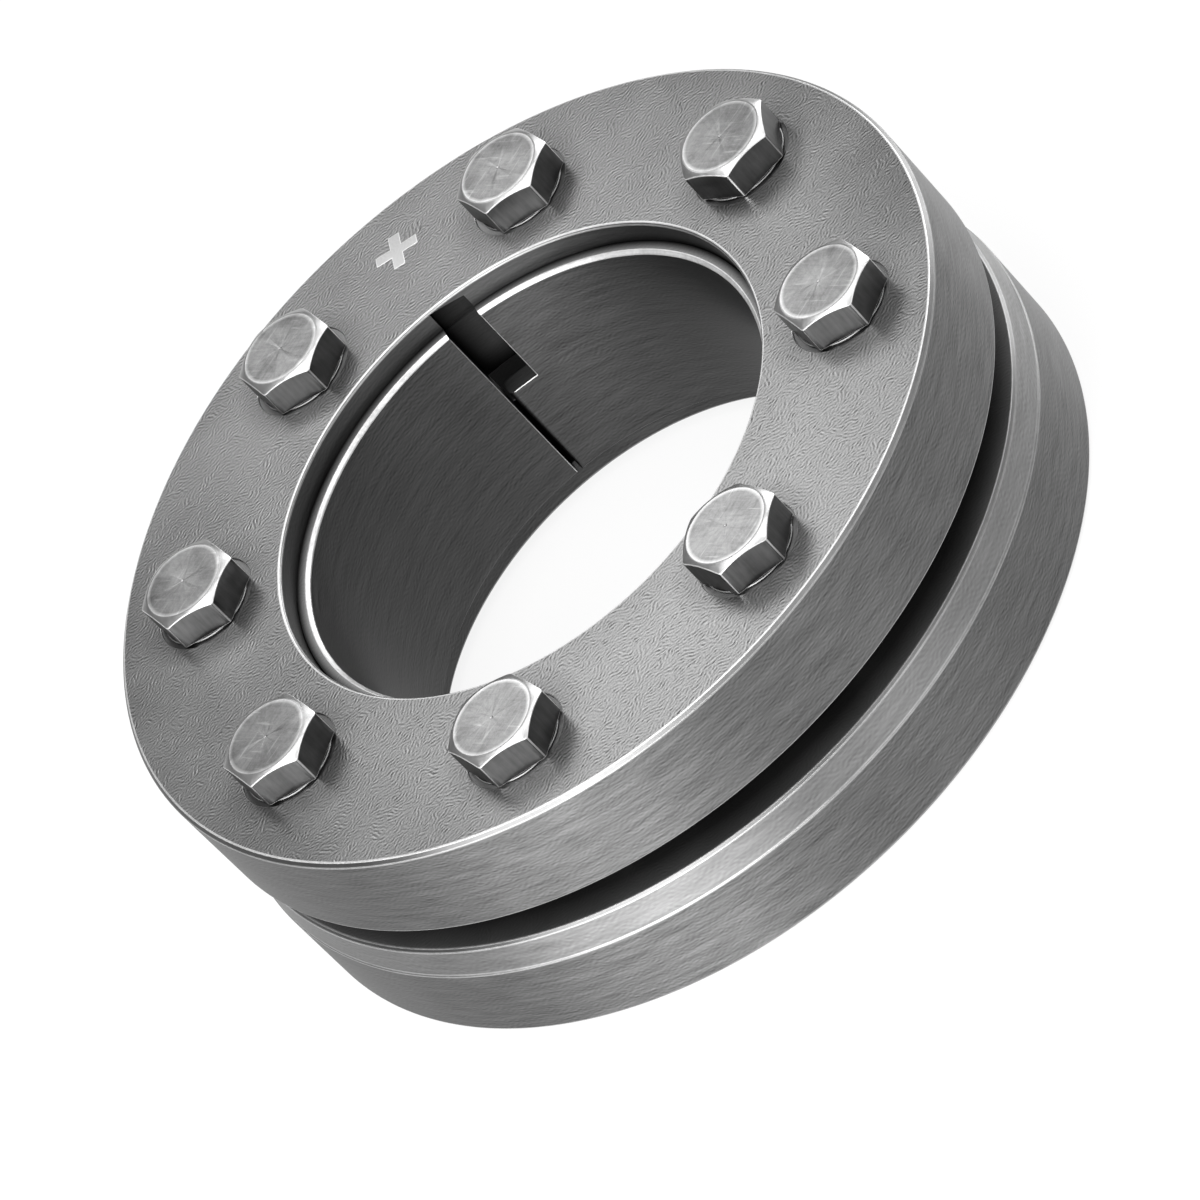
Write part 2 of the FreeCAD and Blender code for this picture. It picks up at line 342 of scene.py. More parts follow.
def turned_steel(name, grey, roughness, contrast, bump, seam_side=OUTER_SEAM, darkening=None):
    """Cylinders and bores: fine wavy streaks that run round the axis, and a few longer ones."""
    made = material(name, grey, 1.0, roughness, anisotropic=0.75)
    tree = made.node_tree
    shader = tree.nodes["Principled BSDF"]
    shader.inputs["Anisotropic Rotation"].default_value = GRAIN_TURN
    tangent = add(tree, "ShaderNodeTangent", {"direction_type": "RADIAL", "axis": "Z"})
    tree.links.new(tangent.outputs[0], shader.inputs["Tangent"])
    along, height, radius = round_axis(tree, seam_side)
    flat = add(tree, "ShaderNodeCombineXYZ", i0=along, i1=maths(tree, "ADD", height, radius)).outputs[0]
    waves = wrinkles(tree, stretch(tree, flat, (1.9, 1.0, 1.0)), 0.85 * WRINKLE, 0.35, math.pi / 2)
    drawn = stretch(tree, flat, (STREAK_LENGTH, 1.0, 1.0))
    streaks = noise(tree, drawn, scale=2600, detail=3.0, roughness=0.6)
    wide = noise(tree, drawn, scale=420, detail=2.0, offset=2.0)
    clouds = noise(tree, place(tree), scale=45, detail=2.0, offset=5.0)
    tint = total(tree, vary(tree, streaks, 1 - contrast, 1 + contrast), vary(tree, wide, -0.03, 0.03),
                 vary(tree, clouds, -0.04, 0.04),
                 remap(tree, waves, RIDGE_LOW, RIDGE_HIGH, -0.7 * contrast, 0.7 * contrast))
    rough = vary(tree, streaks, roughness - 0.05, roughness + 0.05)
    relief = total(tree, waves, maths(tree, "MULTIPLY", streaks, 0.5))
    return finish_metal(made, tint, rough, relief, bump, darkening)


def edge_steel(name, grey, metallic, roughness):
    """Eased edges; the light greys given for them are painted highlight."""
    made = material(name, grey, metallic, roughness)
    tree = made.node_tree
    wear = noise(tree, place(tree), scale=260, detail=4.0, roughness=0.6)
    grains = noise(tree, place(tree), scale=2600, detail=1.0)
    tint = total(tree, vary(tree, wear, 0.80, 1.08), vary(tree, grains, -0.06, 0.06))
    rough = vary(tree, grains, roughness - 0.05, roughness + 0.05)
    return finish_metal(made, tint, rough, grains, 0.002 * MM)


def crown_steel(name, grey):
    """Tops of the bolt heads: satin, with painted highlight at the rim, at the centre and in rays from the
    centre, and with clouds and fine scratches.
    """
    made = material(name, grey, 1.0, 0.34)
    tree = made.node_tree
    variation = own_offset(tree)
    flat = from_axis(tree)
    radius = length(tree, flat)
    direction = add(tree, "ShaderNodeVectorMath", {"operation": "NORMALIZE"}, i0=flat).outputs[0]
    spread = add(tree, "ShaderNodeCombineXYZ", i2=maths(tree, "MULTIPLY", radius, 60.0)).outputs[0]
    fan = add(tree, "ShaderNodeVectorMath", {"operation": "ADD"}, i0=direction, i1=spread).outputs[0]
    rays = noise(tree, fan, scale=7.0, detail=5.0, roughness=0.7, offset=variation)
    clouds = noise(tree, place(tree), scale=330, detail=4.0, roughness=0.6, offset=variation)
    fine = noise(tree, place(tree), scale=3600, detail=2.0, distortion=0.8, offset=variation)
    # Rays from the centre and the lighter centre: painted sheen.
    tints = [vary(tree, rays, 0.80, 1.02), vary(tree, clouds, -0.25, 0.20),
             remap(tree, radius, 0.0, CROWN_RADIUS * 0.5, 0.22, 0.0)]
    for degrees, reach in ((28, 16.0), (-50, 11.0)):
        scratched = stretch(tree, place(tree), (reach, 1.0, 1.0), math.radians(degrees))
        scratches = noise(tree, scratched, scale=3400, detail=2.0, offset=variation)
        tints += [remap(tree, scratches, 0.62, 0.72, 0.0, 0.35), remap(tree, scratches, 0.3, 0.5, -0.10, 0.0)]
    # Painted highlight at the rim.
    tints += [remap(tree, radius, CROWN_RADIUS - CROWN_HIGHLIGHT_START, CROWN_RADIUS - CROWN_HIGHLIGHT_FULL, 0.0, 1.1),
              vary(tree, fine, -0.08, 0.08)]
    rough = vary(tree, clouds, 0.30, 0.40)
    height = total(tree, rays, maths(tree, "MULTIPLY", fine, 0.5))
    return finish_metal(made, total(tree, *tints), rough, height, 0.010 * MM)


def facet_steel(name, grey):
    """Sides of the bolt heads, and threads: dull, with faint scratches along the bolt."""
    made = material(name, grey, 1.0, 0.34)
    tree = made.node_tree
    variation = own_offset(tree)
    drawn = stretch(tree, place(tree), (1.0, 1.0, 9.0))
    scratches = noise(tree, drawn, scale=2400, detail=3.0, offset=variation)
    clouds = noise(tree, place(tree), scale=350, detail=3.0, offset=variation)
    tint = total(tree, remap(tree, scratches, 0.3, 0.75, 0.84, 1.20), vary(tree, clouds, -0.2, 0.2))
    rough = vary(tree, clouds, 0.28, 0.42)
    return finish_metal(made, tint, rough, scratches, 0.004 * MM)


def chamfer_steel(name, grey):
    """Chamfers of the bolt heads, bright and smooth."""
    made = material(name, grey, 1.0, 0.30)
    tree = made.node_tree
    variation = own_offset(tree)
    clouds = noise(tree, place(tree), scale=500, detail=3.0, offset=variation)
    grains = noise(tree, place(tree), scale=3500, detail=1.0, offset=variation)
    tint = vary(tree, clouds, 0.84, 1.06)
    rough = vary(tree, grains, 0.32, 0.40)
    return finish_metal(made, tint, rough, grains, 0.002 * MM)


def painted_face_shade(tree):
    """Darkening of the end faces: painted shade round the bolt heads, and darker towards the bore."""
    first = bolt_axes()[0][1]
    x, y = coordinates(tree)[:2]
    radius = length(tree, from_axis(tree))
    turned = maths(tree, "SUBTRACT", maths(tree, "ARCTAN2", y, x), math.atan2(first.y, first.x))
    off_bolt = maths(tree, "PINGPONG", turned, math.pi / len(BOLT_NAMES))
    away = add(tree, "ShaderNodeCombineXYZ", i0=maths(tree, "MULTIPLY", off_bolt, radius),
               i1=maths(tree, "SUBTRACT", radius, first.xy.length)).outputs[0]
    # Painted shade round each bolt head.
    bolt_shade = remap(tree, length(tree, away), SEAT_RADIUS, SEAT_RADIUS + BOLT_SHADE_WIDTH, 0.74, 1.0)
    by_bore = remap(tree, radius, RING_RADIUS, RING_RADIUS + BORE_DARKENING_WIDTH, 0.88, 1.0)
    return maths(tree, "MULTIPLY", bolt_shade, by_bore)


def painted_gap_shade(tree):
    """Painted shade inside the gap, darker away from the open edge."""
    radius = length(tree, from_axis(tree))
    return remap(tree, radius, BAND_RADIUS - GAP_SHADE_WIDTH, BAND_RADIUS, 0.3, 1.0)


def painted_end_shade(tree):
    """Painted shade in the corner where the inner ring's end meets the front ring's bore."""
    radius = length(tree, from_axis(tree))
    return remap(tree, radius, END_SHADE_START, END_SHADE_FULL, 1.0, 0.1)


def painted_bore_shade(tree):
    """The same corner's painted shade on the front ring's bore."""
    height = coordinates(tree)[2]
    return remap(tree, height, INNER_HIGH.z, INNER_HIGH.z + CORNER_SHADE_HEIGHT, 0.4, 1.0)


def painted_notch_shade(tree):
    """Painted shade on the tapers, black at the notch's slit side and near the gap."""
    point = coordinates(tree)
    across = remap(tree, point[0], -SLIT / 2, NOTCH_WIDTH * 0.7, 0.03, 1.0)
    up = remap(tree, point[2], FRONT_BASE, FRONT_BASE + GAP_SHADE_HEIGHT, 0.05, 1.0)
    return maths(tree, "MULTIPLY", across, up)


def bolt_axes():
    """Bolt name and the place of its axis, from the joints."""
    joints = {joint["name"]: joint for joint in frame["joints"]}
    return [(name, Vector(joints[f"{name}_turn"]["pos_m"])) for name in BOLT_NAMES]


RING_MATERIALS = (
    wrinkled_steel("ring_face", 0.33, roughness=0.36, contrast=0.54, bump=0.03 * MM, darkening=painted_face_shade),
    turned_steel("ring_side", 0.145, roughness=0.48, contrast=0.34, bump=0.006 * MM),
    turned_steel("ring_bore", 0.085, roughness=0.48, contrast=0.16, bump=0.004 * MM,
                 seam_side=BORE_SEAM, darkening=painted_bore_shade),
    # Lighter eased edges: painted highlight.
    edge_steel("ring_edge", 0.60, metallic=0.7, roughness=0.40),
    turned_steel("ring_band", 0.23, roughness=0.45, contrast=0.20, bump=0.004 * MM),
    facet_steel("ring_thread", 0.22),
    turned_steel("ring_chamfer", 0.20, roughness=0.42, contrast=0.06, bump=0.002 * MM),
    # Near black tapers: painted shade where they show through the notch.
    turned_steel("ring_taper", 0.03, roughness=0.45, contrast=0.12, bump=0.005 * MM,
                 seam_side=BORE_SEAM, darkening=painted_notch_shade),
    wrinkled_steel("ring_step", 0.30, roughness=0.55, contrast=0.10, bump=0.02 * MM, darkening=painted_end_shade),
    turned_steel("inner_bore", 0.077, roughness=0.46, contrast=0.30, bump=0.006 * MM, seam_side=BORE_SEAM),
    # Nearly white inner chamfer, and lighter soft and dull edges: painted highlight.
    edge_steel("inner_chamfer", 0.70, metallic=0.7, roughness=0.35),
    edge_steel("soft_edge", 0.30, metallic=0.8, roughness=0.40),
    edge_steel("dull_edge", 0.28, metallic=0.8, roughness=0.42),
    wrinkled_steel("gap_face", 0.27, roughness=0.5, contrast=0.10, bump=0.02 * MM, darkening=painted_gap_shade),
    # Near black walls of the slit and of the cuts that break its edges: painted shade.
    edge_steel("slit_wall", 0.02, metallic=1.0, roughness=0.45),
)
# Slots of the ring materials, in their order.
(FACE, SIDE, BORE, EDGE, BAND, THREAD, RIM, TAPERED,
 STEP, INNER, WHITE, SOFT, DULL, GAP, DARK) = range(len(RING_MATERIALS))

BOLT_MATERIALS = (
    crown_steel("bolt_crown", 0.37),
    # Light chamfers: painted highlight.
    chamfer_steel("bolt_chamfer", 0.46),
    # Near black sides: painted shade.
    facet_steel("bolt_facet", 0.09),
    facet_steel("bolt_thread", 0.22),
    # Light corners of the sides: painted highlight.
    facet_steel("bolt_corner", 0.45),
    # Lighter hex edges: painted highlight.
    edge_steel("bolt_edge", 0.60, metallic=0.7, roughness=0.38),
    facet_steel("bolt_foot", 0.05),
    # Lighter washer rim: painted highlight.
    edge_steel("bolt_washer", 0.24, metallic=0.8, roughness=0.45),
)
# Slots of the bolt materials, in their order.
CROWN, CHAMFER, FACET, BOLT_THREAD, CORNER, LIT_EDGE, SHADED, WASHER = range(len(BOLT_MATERIALS))

MARK_MATERIALS = (
    wrinkled_steel("mark_inlay", 0.62, roughness=0.45, contrast=0.04, bump=0.004 * MM),
    # Lighter outline of the mark: painted highlight.
    edge_steel("mark_edge", 0.85, metallic=0.6, roughness=0.4),
)
MARK_FACE, MARK_SIDE = range(len(MARK_MATERIALS))


def linked(name, data):
    """Object in the scene."""
    made = bpy.data.objects.new(name, data)
    bpy.context.scene.collection.objects.link(made)
    return made


def piece(name, build, materials):
    """Object whose mesh the builder function makes."""
    mesh = bpy.data.meshes.new(name)
    for made in materials:
        mesh.materials.append(made)
    shape = bmesh.new()
    build(shape)
    bmesh.ops.recalc_face_normals(shape, faces=shape.faces)
    shape.to_mesh(mesh)
    shape.free()
    return linked(name, mesh)


def eased(corners):
    """Closed section from corners (radius, height, surface of the edge or None, surface that follows).

    A corner with a surface of its own is rounded, and that surface, lighter as a painted highlight, runs a
    little way past the rounding.
    """
    points = []
    for index, (radius, height, edge, slot) in enumerate(corners):
        if edge is None:
            points.append((radius, height, slot))
            continue
        here = Vector((radius, height))
        before = Vector(corners[index - 1][:2]) - here
        after = Vector(corners[(index + 1) % len(corners)][:2]) - here
        start, end = (side.normalized() * min(EASE, EASE_SHARE * side.length)
                      for side in (before, after))
        highlight_before, highlight_after = (side.normalized() * min(EASE + HIGHLIGHT_RUN, HIGHLIGHT_SHARE * side.length)
                       for side in (before, after))
        points.append((*(here + highlight_before), edge))
        for step in range(EASE_STEPS + 1):
            share = step / EASE_STEPS
            points.append((*(here + start * (1 - share) ** 2 + end * share ** 2), edge))
        points.append((*(here + highlight_after), slot))
    return points


def turn(shape, section, segments, centre=(0, 0, 0), closed=True):
    """Turn a section of (radius, height, surface that follows) about +Z through the centre.

    An open section starts and ends at the flat ends of a solid, which are filled.
    """
    middle = Vector(centre)
    rings = []
    for step in range(segments):
        angle = 2 * math.pi * step / segments
        rings.append([
            shape.verts.new(middle + Vector((radius * math.cos(angle), radius * math.sin(angle), height)))
            for radius, height, _ in section
        ])
    for ring, following in zip(rings, rings[1:] + rings[:1]):
        for index in range(len(section) if closed else len(section) - 1):
            after = (index + 1) % len(section)
            face = shape.faces.new((ring[index], ring[after], following[after], following[index]))
            face.material_index = section[index][2]
    if not closed:
        for end in (0, -1):
            cap = shape.faces.new([ring[end] for ring in rings])
            cap.material_index = section[end][2]


def bar(shape, stations, sides, ends):
    """Closed bar through stations of corners, with the surface after each corner and that of both ends."""
    rings = [[shape.verts.new(point) for point in station] for station in stations]
    for ring in (rings[0], rings[-1]):
        shape.faces.new(ring).material_index = ends
    for here, following in zip(rings, rings[1:]):
        for index, slot in enumerate(sides):
            after = (index + 1) % len(sides)
            side = shape.faces.new((here[index], here[after], following[after], following[index]))
            side.material_index = slot


def box(shape, low, high, slot):
    """Closed box between two corners."""
    size = Vector(high) - Vector(low)
    centre = (Vector(high) + Vector(low)) / 2
    spread = Matrix.Translation(centre) @ Matrix.Diagonal((*size, 1))
    made = bmesh.ops.create_cube(shape, size=1, matrix=spread)
    for face in {face for vertex in made["verts"] for face in vertex.link_faces}:
        face.material_index = slot


def thread(shape, bottom, top, play, slot, centre=(0, 0, 0), point=0.0):
    """Closed screw thread from bottom to top, in step with every other thread at the same height."""
    root, crest = THREAD_RADIUS - THREAD_DEPTH + play, THREAD_RADIUS + play
    # Corners of the profile: share of the pitch, and radius.
    profile = ((0.0, root), (1 / 4, root), (9 / 16, crest), (11 / 16, crest))
    first = math.floor(bottom / THREAD_PITCH) - 1
    turns = math.ceil(top / THREAD_PITCH) + 1 - first
    columns = []
    for step in range((turns + 1) * THREAD_SEGMENTS + 1):
        angle = 2 * math.pi * step / THREAD_SEGMENTS
        base = (first + step / THREAD_SEGMENTS) * THREAD_PITCH
        columns.append([
            shape.verts.new((radius * math.cos(angle), radius * math.sin(angle), base + share * THREAD_PITCH))
            for share, radius in profile
        ])
    before = set(shape.faces)
    for step in range(turns * THREAD_SEGMENTS):
        here, following = columns[step], columns[step + 1]
        above, above_following = columns[step + THREAD_SEGMENTS], columns[step + THREAD_SEGMENTS + 1]
        for index in range(len(profile) - 1):
            shape.faces.new((here[index], following[index], following[index + 1], here[index + 1]))
        shape.faces.new((here[-1], following[-1], above_following[0], above[0]))
    loose = [vertex for column in columns for vertex in column if not vertex.link_faces]
    bmesh.ops.delete(shape, geom=loose, context="VERTS")
    for height, direction in ((bottom, -1), (top, 1)):
        made = [face for face in shape.faces if face not in before]
        geometry = made + list({edge for face in made for edge in face.edges})
        geometry += list({vertex for face in made for vertex in face.verts})
        cut = bmesh.ops.bisect_plane(shape, geom=geometry, plane_co=(0, 0, height),
                                     plane_no=(0, 0, direction), clear_outer=True)
        rim = [item for item in cut["geom_cut"] if isinstance(item, bmesh.types.BMEdge)]
        bmesh.ops.edgeloop_fill(shape, edges=rim)
    made = [face for face in shape.faces if face not in before]
    for vertex in {vertex for face in made for vertex in face.verts}:
        radius = vertex.co.xy.length
        limit = THREAD_RADIUS - point + (vertex.co.z - bottom)
        if point and radius > limit:
            vertex.co.xy *= limit / radius
        vertex.co += Vector(centre)
    for face in made:
        face.material_index = slot


def cut(made, tool):
    """Take the tool's solids away from the piece."""
    knife = made.modifiers.new("cut", "BOOLEAN")
    knife.operation = "DIFFERENCE"
    knife.solver = "EXACT"
    knife.material_mode = "INDEX"
    knife.object = tool
    graph = bpy.context.evaluated_depsgraph_get()
    mesh = bpy.data.meshes.new_from_object(made.evaluated_get(graph))
    made.modifiers.clear()
    made.data = mesh
    bpy.data.objects.remove(tool)
    return made


def smooth(made, angle=30):
    """Smooth shading that keeps flats flat and real edges sharp."""
    made.data.shade_smooth()
    made.data.set_sharp_from_angle(angle=math.radians(angle))
    weighted = made.modifiers.new("weighted_normals", "WEIGHTED_NORMAL")
    weighted.keep_sharp = True
    return made


def front_ring():
    """Front thrust ring with its seats and clearance holes."""
    wide = RING_RADIUS + (STACK - FRONT_BASE - LAND) * TAPER
    section = eased((
        (wide, FRONT_BASE, None, GAP),
        (OUTER_RADIUS, FRONT_BASE, SOFT, SIDE),
        (OUTER_RADIUS, STACK - RIM_CHAMFER, DULL, RIM),
        (OUTER_RADIUS - RIM_CHAMFER, STACK, EDGE, FACE),
        (RING_RADIUS + BORE_CHAMFER, STACK, EDGE, RIM),
        (RING_RADIUS, STACK - BORE_CHAMFER, SOFT, BORE),
        (RING_RADIUS, STACK - LAND, None, TAPERED),
    ))
    made = piece("front_ring_finish", lambda shape: turn(shape, section, RING_SEGMENTS), RING_MATERIALS)

    def seats(shape):
        seat = STACK - SEAT_DEPTH
        hole = (
            (HOLE_RADIUS, FRONT_BASE - MM, TAPERED),
            (HOLE_RADIUS, seat, RIM),
            (SEAT_RADIUS, seat, RIM),
            (SEAT_RADIUS, STACK - SEAT_LIP, EDGE),
            (SEAT_RADIUS + 2 * SEAT_LIP, STACK + SEAT_LIP, EDGE),
        )
        for _, spot in bolt_axes():
            turn(shape, hole, HOLE_SEGMENTS, (spot.x, spot.y, 0), closed=False)
        groove = ((-SLIT / 2, STACK - LAND), (NOTCH_SIDE, STACK - LAND),
                  (NOTCH_SIDE, STACK - GROOVE_DROP), (-SLIT / 2, STACK - BORE_CHAMFER - EASE))
        stations = [[(x, y, z) for x, z in groove] for y in (RING_RADIUS / 2, RING_RADIUS + GROOVE_DEPTH)]
        bar(shape, stations, [TAPERED] * len(groove), TAPERED)

    return cut(made, piece("front_ring_tool", seats, RING_MATERIALS))


def rear_ring():
    """Rear thrust ring with its band and tapped holes."""
    wide = RING_RADIUS + (REAR_TOP - LAND) * TAPER
    shoulder = REAR_TOP - BAND_WIDTH
    section = eased((
        (RING_RADIUS + BORE_CHAMFER, 0, EDGE, FACE),
        (OUTER_RADIUS - RIM_CHAMFER, 0, EDGE, RIM),
        (OUTER_RADIUS, RIM_CHAMFER, SOFT, SIDE),
        (OUTER_RADIUS, shoulder, DULL, RIM),
        (OUTER_RADIUS - SHOULDER_CHAMFER, shoulder + SHOULDER_CHAMFER, SOFT, BAND),
        (BAND_RADIUS, REAR_TOP - BAND_CHAMFER, SOFT, RIM),
        (BAND_RADIUS - BAND_CHAMFER, REAR_TOP, DULL, GAP),
        (wide, REAR_TOP, SOFT, TAPERED),
        (RING_RADIUS, LAND, None, INNER),
        (RING_RADIUS, BORE_CHAMFER, DULL, INNER),
    ))
    made = piece("rear_ring_finish", lambda shape: turn(shape, section, RING_SEGMENTS), RING_MATERIALS)

    def tapped(shape):
        seat = STACK - SEAT_DEPTH
        for _, spot in bolt_axes():
            thread(shape, -seat - MM, REAR_TOP + MM - seat, THREAD_PLAY, THREAD, (spot.x, spot.y, seat))

    def mouths(shape):
        reach = THREAD_RADIUS + THREAD_PLAY
        mouth = ((reach + MOUTH_CHAMFER + MM, -MM, EDGE), (reach - MM, MOUTH_CHAMFER + MM, EDGE))
        for _, spot in bolt_axes():
            turn(shape, mouth, HOLE_SEGMENTS, (spot.x, spot.y, 0), closed=False)

    made = cut(made, piece("rear_thread_tool", tapped, RING_MATERIALS))
    return cut(made, piece("rear_mouth_tool", mouths, RING_MATERIALS))


def inner_ring():
    """Double-tapered inner ring with its slit and notch, whose edges are broken and carry a painted
    highlight.
    """
    low, high = INNER_LOW.z, INNER_HIGH.z
    middle = (low + high) / 2
    end = RING_RADIUS + (low - LAND) * TAPER - TAPER_PLAY
    ridge = RING_RADIUS + (middle - RIDGE / 2 - LAND) * TAPER - TAPER_PLAY
    section = eased((
        (SHAFT_RADIUS + INNER_CHAMFER, low, None, BORE),
        (end, low, None, TAPERED),
        (ridge, middle - RIDGE / 2, None, TAPERED),
        (ridge, middle + RIDGE / 2, None, TAPERED),
        (end, high, None, STEP),
        (SHAFT_RADIUS + INNER_CHAMFER, high, EDGE, WHITE),
        (SHAFT_RADIUS, high - INNER_CHAMFER, EDGE, INNER),
        (SHAFT_RADIUS, low + INNER_CHAMFER, None, INNER),
    ))
    made = piece("inner_ring_finish", lambda shape: turn(shape, section, RING_SEGMENTS), RING_MATERIALS)
    # Radii inside and outside the ring, between which the tools cut.
    near, far = SHAFT_RADIUS * 0.8, RING_RADIUS * 1.2
    notch_end = high - NOTCH_LENGTH

    def slit(shape):
        half = SLIT / 2
        outline = [(-half, near, DARK), (-half, far, DARK), (half, far, DARK)]
        for step in range(LIP_STEPS + 1):
            angle = math.pi / 2 * step / LIP_STEPS
            across = half + LIP_RADIUS * (1 - math.cos(angle))
            outline.append((across, SHAFT_RADIUS + LIP_RADIUS * (1 - math.sin(angle)), INNER))
        outline.append((half + LIP_RADIUS, near, DARK))
        stations = [[(x, y, height) for x, y, _ in outline] for height in (low - MM, high + MM)]
        bar(shape, stations, [slot for _, _, slot in outline], TAPERED)

    def notch(shape):
        box(shape, (-SLIT / 2, near, notch_end), (NOTCH_SIDE, far, high + MM), BORE)

    def upright_edge(side, outward, bottom):
        corner = Vector((side, math.sqrt(SHAFT_RADIUS ** 2 - side ** 2)))
        triangle = ((-outward, 2), (2 * outward, -1), (-outward, -4))
        return [[(corner.x + x * EDGE_BREAK, corner.y + y * EDGE_BREAK, height) for x, y in triangle]
                for height in (bottom, high + MM)]

    def notch_end_edge():
        triangle = ((2, 1), (-1, -2), (-4, 1))
        stations = []
        for step in range(NOTCH_EDGE_STEPS + 1):
            reach = math.asin((NOTCH_SIDE + EDGE_BREAK * 0.5) / SHAFT_RADIUS)
            angle = reach * (1 - step / NOTCH_EDGE_STEPS)
            stations.append([
                ((SHAFT_RADIUS + depth * EDGE_BREAK) * math.sin(angle),
                 (SHAFT_RADIUS + depth * EDGE_BREAK) * math.cos(angle), notch_end + height * EDGE_BREAK)
                for depth, height in triangle
            ])
        return stations

    def broken(made, stations):
        sides = (EDGE, DARK, DARK)
        return cut(made, piece("edge_tool", lambda shape: bar(shape, stations, sides, DARK), RING_MATERIALS))

    made = cut(made, piece("slit_tool", slit, RING_MATERIALS))
    made = cut(made, piece("notch_tool", notch, RING_MATERIALS))
    made = broken(made, upright_edge(NOTCH_SIDE, 1, notch_end))
    made = broken(made, notch_end_edge())
    return broken(made, upright_edge(-SLIT / 2, -1, low - MM))


def hexagon_radius(degrees):
    """Distance from the axis to the side of the bolt head, its corners softly flattened."""
    off_corner = abs((degrees + 30) % 60 - 30)
    flat = HEAD_FLAT / math.cos(math.radians(30 - off_corner))
    share = (HEAD_CORNER - flat) / CORNER_SOFTNESS
    return HEAD_CORNER - CORNER_SOFTNESS * math.log1p(math.exp(min(share, 50))) if share < 50 else flat


def head_section(degrees):
    """Section of the bolt head at an angle, from its centre down: (radius, height, surface that follows)."""
    soft = HEAD_SOFTNESS
    side = hexagon_radius(degrees)
    edge = HEAD_TOP - (side - CROWN_RADIUS) * HEAD_SLOPE
    return (
        (DIMPLE_RADIUS * 0.4, HEAD_TOP - DIMPLE_DEPTH, CROWN),
        (DIMPLE_RADIUS, HEAD_TOP - DIMPLE_DEPTH * 0.3, CROWN),
        (DIMPLE_RADIUS * 1.8, HEAD_TOP, CROWN),
        (CROWN_RADIUS - 3.2 * soft, HEAD_TOP, CHAMFER),
        (CROWN_RADIUS - soft, HEAD_TOP - 0.25 * soft, CHAMFER),
        (CROWN_RADIUS + soft, HEAD_TOP - 1.2 * soft, CHAMFER),
        # Lit edge steel along the head's edges: painted highlight.
        (side - 1.6 * soft, edge + 1.6 * soft * HEAD_SLOPE, LIT_EDGE),
        (side - 0.4 * soft, edge - 0.3 * soft, LIT_EDGE),
        (side, edge - 1.6 * soft, FACET),
        (side, WASHER_HEIGHT + 1.6 * soft, LIT_EDGE),
        (side - 0.5 * soft, WASHER_HEIGHT + 0.4 * soft, LIT_EDGE),
        (side - 1.6 * soft, WASHER_HEIGHT, SHADED),
        (min(side - 1.7 * soft, WASHER_RADIUS - 4 * soft), WASHER_HEIGHT - 0.2 * soft, SHADED),
        (WASHER_RADIUS - 1.5 * soft, WASHER_HEIGHT - 0.4 * soft, WASHER),
        (WASHER_RADIUS, WASHER_HEIGHT - 2.0 * soft, SHADED),
        (WASHER_RADIUS, soft, SHADED),
        (WASHER_RADIUS - soft, 0, SHADED),
        (THREAD_RADIUS * 0.5, 0, SHADED),
    )


def bolt(name, spot, head_turn):
    """Hexagon bolt with washer face, chamfers and thread; its own origin is on its seat."""
    angles = [60 * side + step for side in range(6) for step in HEAD_STEPS]

    def build(shape):
        columns = []
        for degrees in angles:
            angle = math.radians(degrees) + head_turn
            direction = Vector((math.cos(angle), math.sin(angle), 0))
            columns.append([shape.verts.new(direction * radius + Vector((0, 0, height)))
                            for radius, height, _ in head_section(degrees)])
        slots = [slot for _, _, slot in head_section(0)]
        for index, (column, following) in enumerate(zip(columns, columns[1:] + columns[:1])):
            at_corner = index % len(HEAD_STEPS) in (0, len(HEAD_STEPS) - 1)
            for level in range(len(column) - 1):
                face = shape.faces.new((column[level], column[level + 1],
                                        following[level + 1], following[level]))
                # Corner columns of the sides take the light corner steel: painted highlight.
                face.material_index = CORNER if at_corner and slots[level] == FACET else slots[level]
        for level in (0, -1):
            shape.faces.new([column[level] for column in columns])
        thread(shape, THREAD_END_SHIFT - BOLT_LENGTH, THREAD_ROOT, 0, BOLT_THREAD, point=POINT_CHAMFER)

    made = piece(f"{name}_finish", build, BOLT_MATERIALS)
    made.location = spot
    return made


def index_mark():
    """Plain cross inlaid in the front face over the slit."""
    quarter = ((MARK_HALF_WIDTH, MARK_HALF_WIDTH), (MARK_ARM, MARK_HALF_WIDTH), (MARK_ARM, -MARK_HALF_WIDTH))

    def build(shape):
        stations = []
        for inset, height in ((0, -MARK_ROOT), (0, MARK_WALL), (MARK_BEVEL, MARK_HEIGHT)):
            station = []
            for turns in range(4):
                spin = Matrix.Rotation(-math.pi / 2 * turns, 2)
                for x, y in quarter:
                    corner = spin @ Vector((x - math.copysign(inset, x), y - math.copysign(inset, y)))
                    station.append((corner.x, corner.y, height))
            stations.append(station)
        bar(shape, stations, [MARK_SIDE] * len(stations[0]), MARK_FACE)

    made = piece("index_mark", build, MARK_MATERIALS)
    made.location = (MARK_RADIUS * math.cos(MARK_ANGLE), MARK_RADIUS * math.sin(MARK_ANGLE), STACK)
    made.rotation_euler = (0, 0, MARK_TURN)
    return made


def dress():
    """Put every piece on its body and let it stand for its node."""
    for made, body, node, slot in (
        (front_ring(), "front_ring", "front_thrust_ring", "ring_steel"),
        (rear_ring(), "rear_ring", "rear_thrust_ring", "ring_steel"),
        (inner_ring(), "slit_ring", "inner_ring", "inner_steel"),
    ):
        smooth(made)
        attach(made, body)
        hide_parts(node)
    for (name, spot), head_turn in zip(bolt_axes(), HEAD_TURNS):
        made = smooth(bolt(name, spot, math.radians(head_turn)), 22)
        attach(made, name)
        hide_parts(name)
    mark = smooth(index_mark())
    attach(mark, "front_ring")


